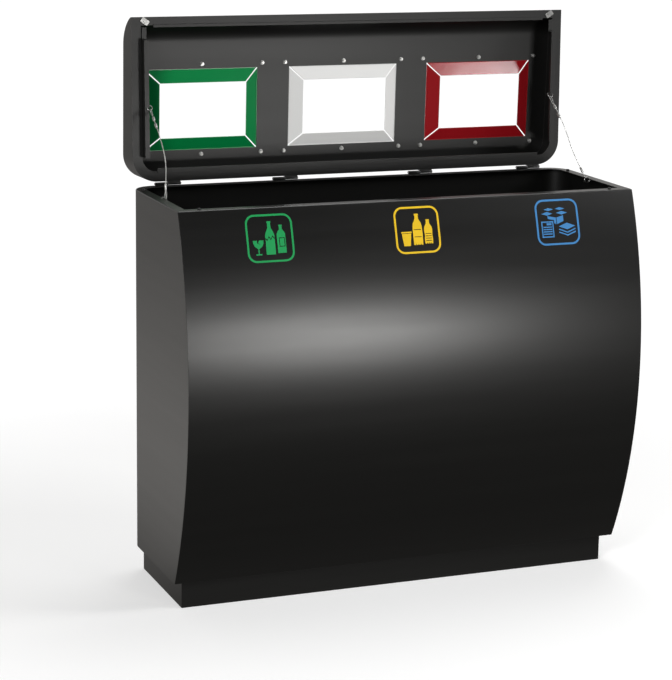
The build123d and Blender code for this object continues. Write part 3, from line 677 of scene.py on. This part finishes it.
def restraint_cable(side, name, bow):
    """Rope between the lid and rim rings, with eyes and crimped ferrules at both ends."""
    x_axis = Vector((1, 0, 0))
    lid_ring = LID_OPEN @ Vector((side * LID_RING_X, LID_REAR_Y - LID_RING_FROM_REAR,
                                  LID_Z - LIP_DROP + SHEET / 2))
    rim_ring = Vector((side * (HALF_WIDTH - RIM_FLANGE), RIM_RING_Y, RIM_Z - SHEET / 2 - RIM_RING_SINK))
    # The taut rope draws the lid ring round until it points at the rim ring.
    lid_axis = (rim_ring - lid_ring).cross(x_axis).normalized()
    lid_loop = split_ring(lid_ring, lid_axis)
    rim_loop = split_ring(rim_ring, Vector((0, 1, 0)))
    add_piece("split_ring_lid_" + name, lid_loop, "lid", "zinc", "cable_rings_lid")
    add_piece("split_ring_body_" + name, rim_loop, "body", "zinc", "cable_rings_body")

    # The eyes catch the lowest point of the lid ring and the upper inner quarter of the rim ring.
    down_ring = x_axis.cross(lid_axis)
    down_ring *= math.copysign(1, -down_ring.z)
    lid_hook = lid_ring - Vector((side * HOOK_INSET, 0, 0)) + RING_R * down_ring
    rim_wire = Vector((side, 0, 1)).normalized()
    rim_hook = rim_ring + RING_R * Vector((-side, 0, 1)).normalized()
    pull = (rim_hook - lid_hook).normalized()
    top = lid_hook - pull * EYE_GRIP
    low = rim_hook + pull * EYE_GRIP
    top_aim = (pull + Vector((0, -bow[0], 0))).normalized()
    low_aim = (pull + Vector((0, bow[1], 0))).normalized()
    crimps = [top + top_aim * distance for distance in LID_CRIMPS]
    foot = [low - low_aim * distance for distance in RIM_CRIMPS]
    add_piece("eye_lid_" + name, eye_loop(top, crimps[0], x_axis), "lid", "steel_rope")
    sleeves = [ferrule(crimps[0], crimps[1], LID_FERRULE_R), ferrule(crimps[2], crimps[3], LID_FERRULE_R)]
    add_piece("ferrules_lid_" + name, join_meshes("ferrules_lid", sleeves), "lid", "steel_rope")

    start, end = crimps[0] + top_aim * 0.002, foot[0]
    reach = (end - start).length
    control = [start, start + top_aim * reach * 0.33, end - low_aim * reach * 0.33, end]
    path = smooth_path(control, 420)
    strands = join_meshes("rope", [twisted_rope("span", path), eye_loop(low, foot[0], rim_wire)])
    rope = add_piece("rope_" + name, strands, None, "steel_rope", "restraint_cable_" + name)
    rim_sleeve = ferrule(foot[0], foot[1], RIM_FERRULE_R)
    sleeve = add_piece("ferrule_body_" + name, rim_sleeve, None, "steel_rope")
    # The upper eye and ferrules follow the lid; the rope span and the lower ferrule belong to no body.
    for piece in (rope, sleeve):
        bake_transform(piece)


# ---------------------------------------------------------------- carried-over CAD nodes
def dress(node, slot, edge=0.0):
    """Gives a CAD node its material, and broken edges where the part has them."""
    piece = frame["nodes"][node]
    piece.data.materials.clear()
    piece.data.materials.append(MATERIALS[slot])
    if edge:
        weld = piece.modifiers.new("weld", "WELD")
        weld.merge_threshold = 1e-6
        rounding = piece.modifiers.new("rounding", "BEVEL")
        rounding.width = edge
        rounding.segments = 2
        rounding.limit_method = "ANGLE"
        rounding.angle_limit = math.radians(40.0)
        rounding.harden_normals = True


def dress_nodes():
    """Material for every CAD node that is still shown, with its edge rounding in metres."""
    edges = {
        "plinth": 0.0008, "floor_plate": 0.0005, "anchor_access_plugs": 0.0005,
        "liner_support_rails": 0.0008, "liner_divider_plates": 0.0005, "liner_stop_angles": 0.0004,
        "rim_buffers": 0.0006, "hinge_body_knuckles": 0.0003, "hinge_lid_knuckles": 0.0003,
        "hinge_pins": 0.0003, "frame_washers": 0.0002, "frame_nuts": 0.0004, "lid_corner_plates": 0.0003,
        "liner_left": 0.0005, "liner_centre": 0.0005, "liner_right": 0.0005,
    }
    for part in frame["record"]["subparts"]:
        node = part["node"]
        if not frame["nodes"][node].hide_render:
            dress(node, part["material_slot"], edges.get(node, 0.0))


# ---------------------------------------------------------------- studio
SEEN_WHITE = 1.05            # brightness of the white surroundings as the camera sees them


def floor_material():
    """Pale floor that fades to white far away; its reflections are bright only at the back left."""
    n = Nodes("studio_floor")
    tree = n.tree
    place = n.add("ShaderNodeNewGeometry").outputs["Position"]
    split = n.add("ShaderNodeSeparateXYZ", Vector=place)
    path = n.add("ShaderNodeLightPath")

    lit = n.add("ShaderNodeBsdfDiffuse", Color=(0.60, 0.60, 0.60, 1.0))
    base = n.add("ShaderNodeEmission", Color=(1.0, 1.0, 1.0, 1.0), Strength=0.45)
    floor = n.add("ShaderNodeAddShader")
    tree.links.new(lit.outputs[0], floor.inputs[0])
    tree.links.new(base.outputs[0], floor.inputs[1])
    distance = n.add("ShaderNodeVectorMath", {"operation": "LENGTH"})
    tree.links.new(place, distance.inputs[0])
    away = n.add("ShaderNodeMapRange", {"interpolation_type": "SMOOTHSTEP"}, From_Min=0.9, From_Max=2.2)
    tree.links.new(distance.outputs["Value"], away.inputs["Value"])
    white = n.add("ShaderNodeEmission", Color=(1.0, 1.0, 1.0, 1.0), Strength=SEEN_WHITE)
    seen = n.add("ShaderNodeMixShader")
    tree.links.new(away.outputs["Result"], seen.inputs[0])
    tree.links.new(floor.outputs[0], seen.inputs[1])
    tree.links.new(white.outputs[0], seen.inputs[2])

    # In reflections the floor is dark in front, in the shade by the plinth and far away.
    back = n.add("ShaderNodeMapRange", {"interpolation_type": "SMOOTHSTEP"}, From_Min=-0.35, From_Max=0.25)
    tree.links.new(split.outputs["Y"], back.inputs["Value"])
    shade = n.add("ShaderNodeMapRange", From_Min=-0.60, From_Max=-0.95, To_Min=0.25)
    tree.links.new(split.outputs["X"], shade.inputs["Value"])
    far = n.add("ShaderNodeMapRange", From_Min=0.8, From_Max=4.5, To_Min=0.70, To_Max=0.26)
    tree.links.new(distance.outputs["Value"], far.inputs["Value"])
    product = n.add("ShaderNodeMath", {"operation": "MULTIPLY"})
    tree.links.new(back.outputs["Result"], product.inputs[0])
    tree.links.new(shade.outputs["Result"], product.inputs[1])
    glow_node = n.add("ShaderNodeMath", {"operation": "MULTIPLY_ADD"})
    tree.links.new(product.outputs[0], glow_node.inputs[0])
    tree.links.new(far.outputs["Result"], glow_node.inputs[1])
    glow_node.inputs[2].default_value = 0.11
    mirrored = n.add("ShaderNodeEmission", Color=(1.0, 0.97, 0.93, 1.0), Strength=glow_node.outputs[0])
    mix = n.add("ShaderNodeMixShader")
    tree.links.new(path.outputs["Is Camera Ray"], mix.inputs[0])
    tree.links.new(mirrored.outputs[0], mix.inputs[1])
    tree.links.new(seen.outputs[0], mix.inputs[2])
    tree.links.new(mix.outputs[0], tree.nodes["Material Output"].inputs["Surface"])
    return n.material


def studio_floor():
    size = 30.0
    corners = [(-size, -size, 0), (size, -size, 0), (size, size, 0), (-size, size, 0)]
    mesh = mesh_from("studio_floor", [Vector(c) for c in corners], [(0, 1, 2, 3)], ((0, 0, 0), (0, 0, 1)))
    mesh.materials.append(floor_material())
    floor = bpy.data.objects.new("studio_floor", mesh)
    floor.location.z = -0.0005
    bpy.context.scene.collection.objects.link(floor)


def studio_world():
    """White to the camera; to everything else a pale back wall and a dim front."""
    world = bpy.data.worlds.new("studio_world")
    bpy.context.scene.world = world
    world.use_nodes = True
    tree = world.node_tree
    back = tree.nodes["Background"]
    coords = tree.nodes.new("ShaderNodeTexCoord")
    split = tree.nodes.new("ShaderNodeSeparateXYZ")
    tree.links.new(coords.outputs["Generated"], split.inputs[0])
    ramp = tree.nodes.new("ShaderNodeMapRange")
    for name, value in (("From Min", -0.1), ("From Max", 0.8), ("To Min", 0.02), ("To Max", 0.60)):
        ramp.inputs[name].default_value = value
    tree.links.new(split.outputs["Y"], ramp.inputs["Value"])
    tree.links.new(ramp.outputs[0], back.inputs["Strength"])
    back.inputs["Color"].default_value = (1.0, 0.98, 0.95, 1.0)
    white = tree.nodes.new("ShaderNodeBackground")
    white.inputs["Color"].default_value = (1.0, 1.0, 1.0, 1.0)
    white.inputs["Strength"].default_value = SEEN_WHITE
    path = tree.nodes.new("ShaderNodeLightPath")
    mix = tree.nodes.new("ShaderNodeMixShader")
    tree.links.new(path.outputs["Is Camera Ray"], mix.inputs[0])
    tree.links.new(back.outputs[0], mix.inputs[1])
    tree.links.new(white.outputs[0], mix.inputs[2])
    tree.links.new(mix.outputs[0], tree.nodes["World Output"].inputs["Surface"])


def area_light(name, place, target, size, power, colour=(1, 1, 1)):
    data = bpy.data.lights.new(name, "AREA")
    data.shape = "RECTANGLE"
    data.size, data.size_y = size
    data.energy = power
    data.color = colour
    light = bpy.data.objects.new(name, data)
    light.location = place
    light.rotation_euler = (Vector(target) - Vector(place)).to_track_quat("-Z", "Y").to_euler()
    bpy.context.scene.collection.objects.link(light)


def studio_lights():
    area_light("band_softbox", (0.98, -3.4, 0.60), (0.0, 0, 0.62), (0.75, 0.50), 37.0, (1.0, 0.99, 0.97))
    area_light("left_key", (-3.2, -3.4, 2.6), (0, 0, 0.9), (1.6, 1.6), 140.0)
    area_light("right_key", (3.6, -1.8, 2.6), (0, 0, 0.9), (1.4, 1.4), 85.0)
    area_light("top_softbox", (0.9, 0.9, 3.6), (0, 0, 0.0), (2.4, 2.0), 55.0)
    # Seen only in the upper flap of the red frame.
    area_light("flap_spot", (1.945, -2.07, 3.33), (0.43, 0.26, 1.2), (0.21, 0.35), 9.0)


def camera():
    """Full-height view from the front left, a little above the open lid."""
    data = bpy.data.cameras.new("camera")
    data.sensor_width = 36.0
    data.lens = 118.43
    data.clip_end = 100.0
    eye = bpy.data.objects.new("camera", data)
    yaw, pitch, roll = math.radians(21.946), math.radians(-13.016), math.radians(0.92)
    forward = Vector((math.sin(yaw) * math.cos(pitch), math.cos(yaw) * math.cos(pitch), math.sin(pitch)))
    right = Vector((math.cos(yaw), -math.sin(yaw), 0.0))
    up = right.cross(forward)
    tilted_right = right * math.cos(roll) + up * math.sin(roll)
    tilted_up = up * math.cos(roll) - right * math.sin(roll)
    turn = Matrix((tilted_right, tilted_up, -forward)).transposed()
    eye.matrix_world = Matrix.Translation((-2.0823, -4.8831, 1.8004)) @ turn.to_4x4()
    bpy.context.scene.collection.objects.link(eye)
    bpy.context.scene.camera = eye


# ---------------------------------------------------------------- build
body_wrap()
curved_front()
lid_pan()
for stream in STREAMS:
    opening_frame(stream)
restraint_cable(-1, "left", (0.55, 0.45))
restraint_cable(1, "right", (0.08, -0.06))
dress_nodes()

studio_floor()
studio_world()
studio_lights()
camera()
bpy.context.scene.view_settings.view_transform = "Standard"
